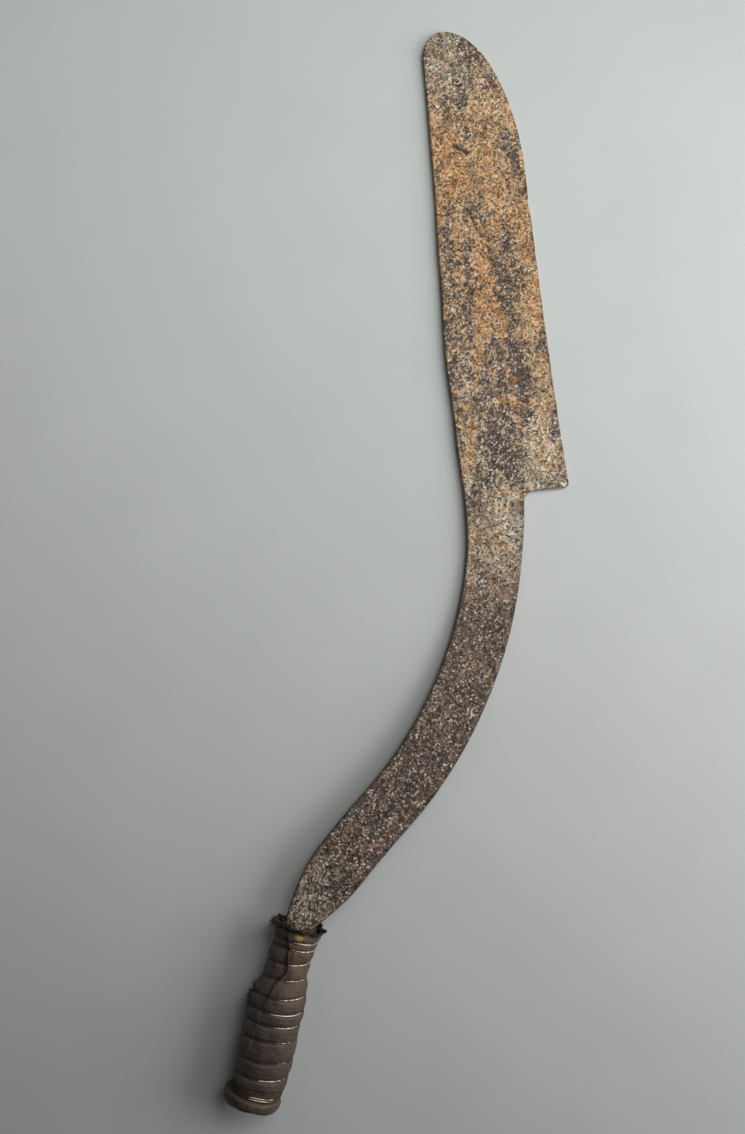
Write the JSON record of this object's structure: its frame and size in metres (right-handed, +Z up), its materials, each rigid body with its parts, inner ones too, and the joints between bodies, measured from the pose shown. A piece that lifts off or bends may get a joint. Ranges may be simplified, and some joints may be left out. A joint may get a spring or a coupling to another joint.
{
  "type": "hand sickle",
  "caption": "Long-bladed hand sickle: flat forged blade with squared heel, S-shaped flat shank and a short wooden grip bound in leather and wire.",
  "frame": {"origin": "under the middle of the bounding box, on the surface that the tool lies on", "axes": "+Y along the tool towards the tip of the blade, +X towards the side with the cutting edge, +Z up, away from the surface"},
  "size_m": [0.204, 0.6383, 0.0332],
  "materials": {
    "forged_iron": "pitted and rusted, ochre to dark brown",
    "grip_wood": "dark, hand-worn",
    "pin_iron": "dull",
    "linen": "coarse, soiled",
    "leather": "dry, rubbed smooth on the bulges",
    "binding_wire": "rubbed bright on top, dull at the sides"
  },
  "bodies": {
    "root": {"blade_forging": "forged_iron", "upper_grip_scale": "grip_wood", "lower_grip_scale": "grip_wood", "collar_grip_pin": "pin_iron", "pommel_grip_pin": "pin_iron", "linen_underwrap": "linen", "leather_wrap": "leather", "binding_wire": "binding_wire"}
  },
  "joints": []
}
